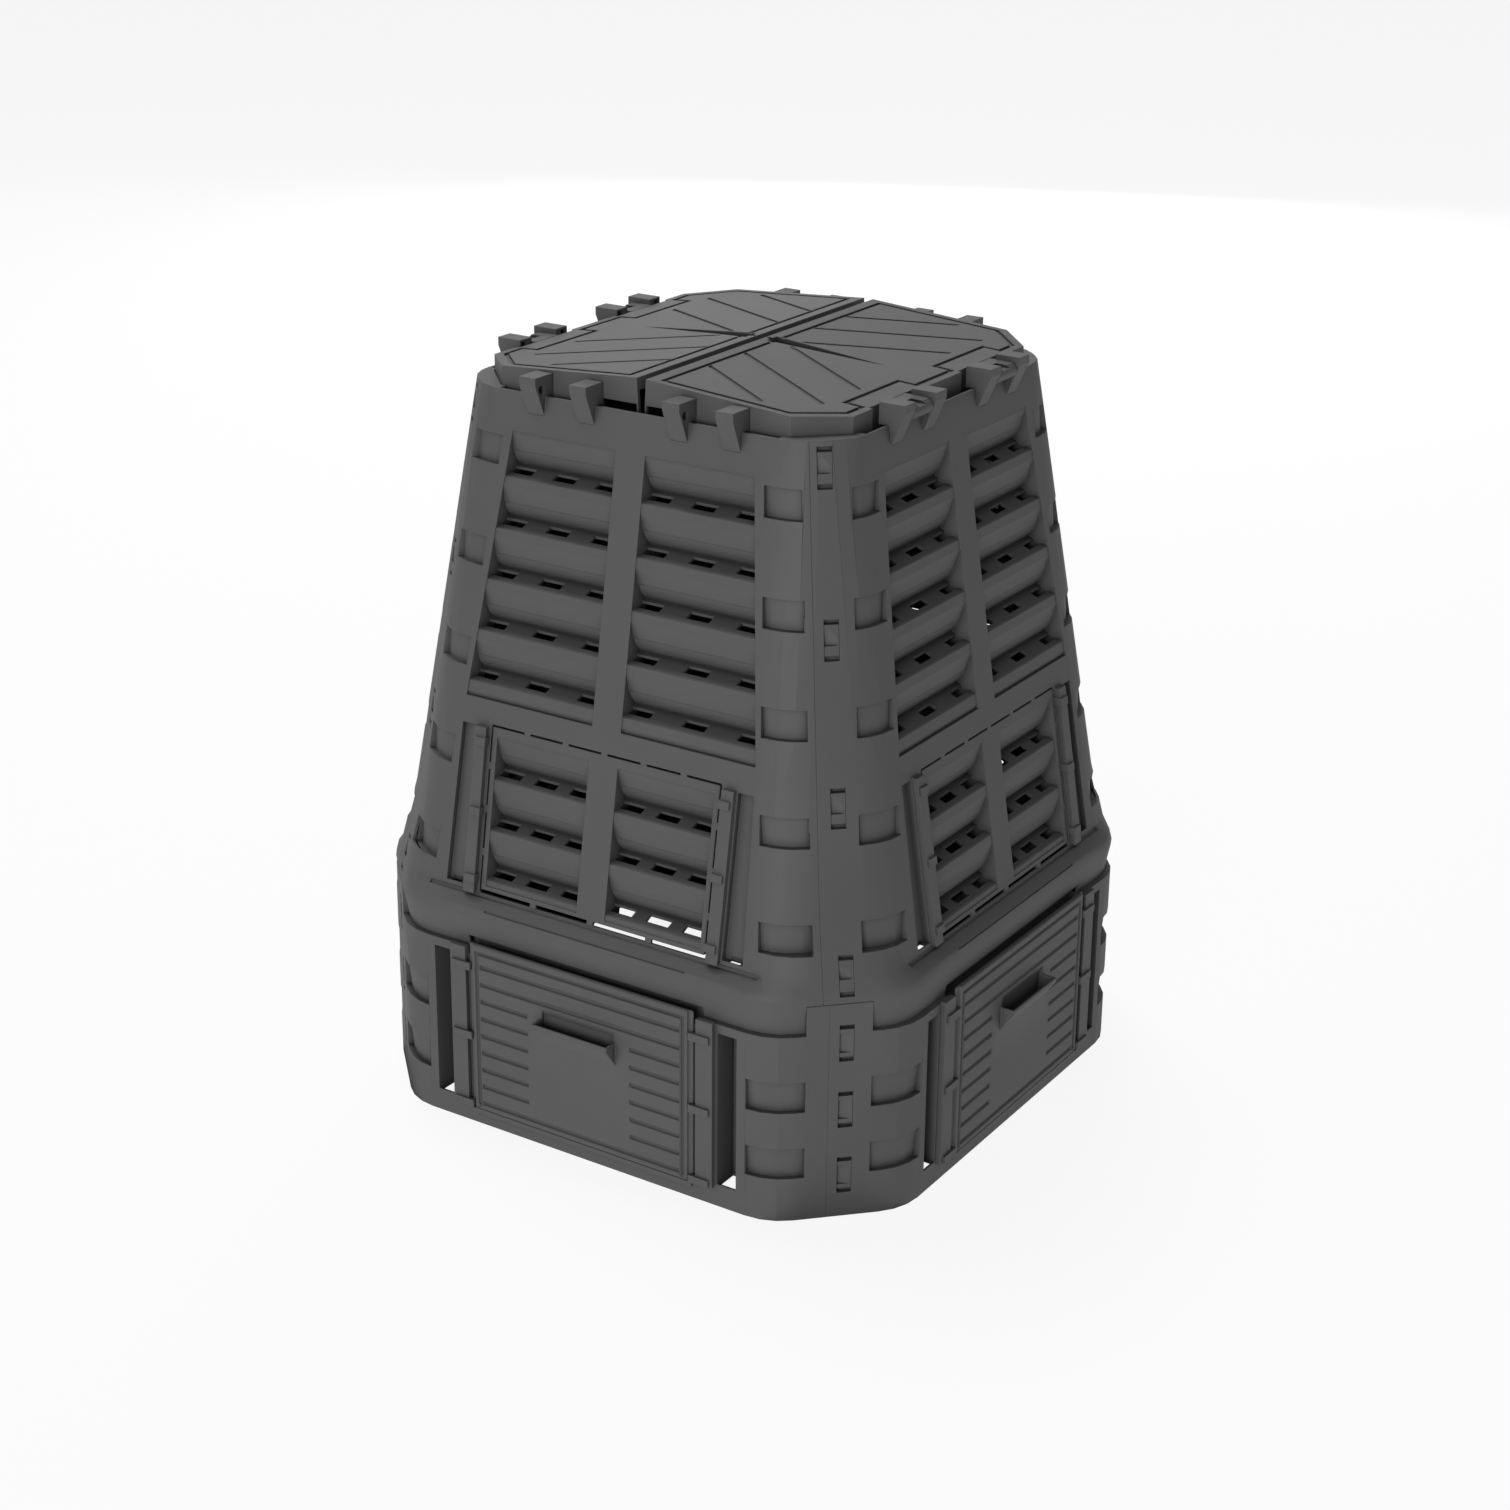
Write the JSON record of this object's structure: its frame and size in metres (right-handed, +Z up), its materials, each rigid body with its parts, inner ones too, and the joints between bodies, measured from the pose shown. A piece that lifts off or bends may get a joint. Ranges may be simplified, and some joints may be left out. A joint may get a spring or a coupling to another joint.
{
  "type": "compost bin",
  "caption": "Square tapered garden compost bin with louvred walls, sliding base doors, snap-clipped corners and a lid of hinged leaves.",
  "frame": {"origin": "on the ground, in the middle of the base ring", "axes": "+Z up, +X towards the wall on the right leaf's hinge side, -Y towards the front wall, where the lid's seam ends"},
  "size_m": [0.838, 0.838, 0.9676],
  "materials": {
    "shell": "matte, lightly grained charcoal grey"
  },
  "bodies": {
    "bin": {"upper_wall_front": "shell", "upper_wall_right": "shell", "upper_wall_back": "shell", "upper_wall_left": "shell", "base_wall_front": "shell", "base_wall_right": "shell", "base_wall_back": "shell", "base_wall_left": "shell"},
    "door_front": {"base_door_front": "shell"},
    "door_right": {"base_door_right": "shell"},
    "door_back": {"base_door_back": "shell"},
    "door_left": {"base_door_left": "shell"},
    "lid_right": {"lid_leaf_right": "shell"},
    "lid_left": {"lid_leaf_left": "shell"}
  },
  "joints": [
    {"name": "door_front_slide", "type": "slide", "parent": "bin", "child": "door_front", "axis": [0, 0, 1], "range_m": [0, 0.15]},
    {"name": "door_right_slide", "type": "slide", "parent": "bin", "child": "door_right", "axis": [0, 0, 1], "range_m": [0, 0.15]},
    {"name": "door_back_slide", "type": "slide", "parent": "bin", "child": "door_back", "axis": [0, 0, 1], "range_m": [0, 0.15]},
    {"name": "door_left_slide", "type": "slide", "parent": "bin", "child": "door_left", "axis": [0, 0, 1], "range_m": [0, 0.15]},
    {"name": "lid_right_hinge", "type": "hinge", "parent": "bin", "child": "lid_right", "pos_m": [0.281, 0, 0.94], "axis": [0, 1, 0], "range_deg": [0, 250]},
    {"name": "lid_left_hinge", "type": "hinge", "parent": "bin", "child": "lid_left", "pos_m": [-0.281, 0, 0.94], "axis": [0, -1, 0], "range_deg": [0, 250]}
  ]
}
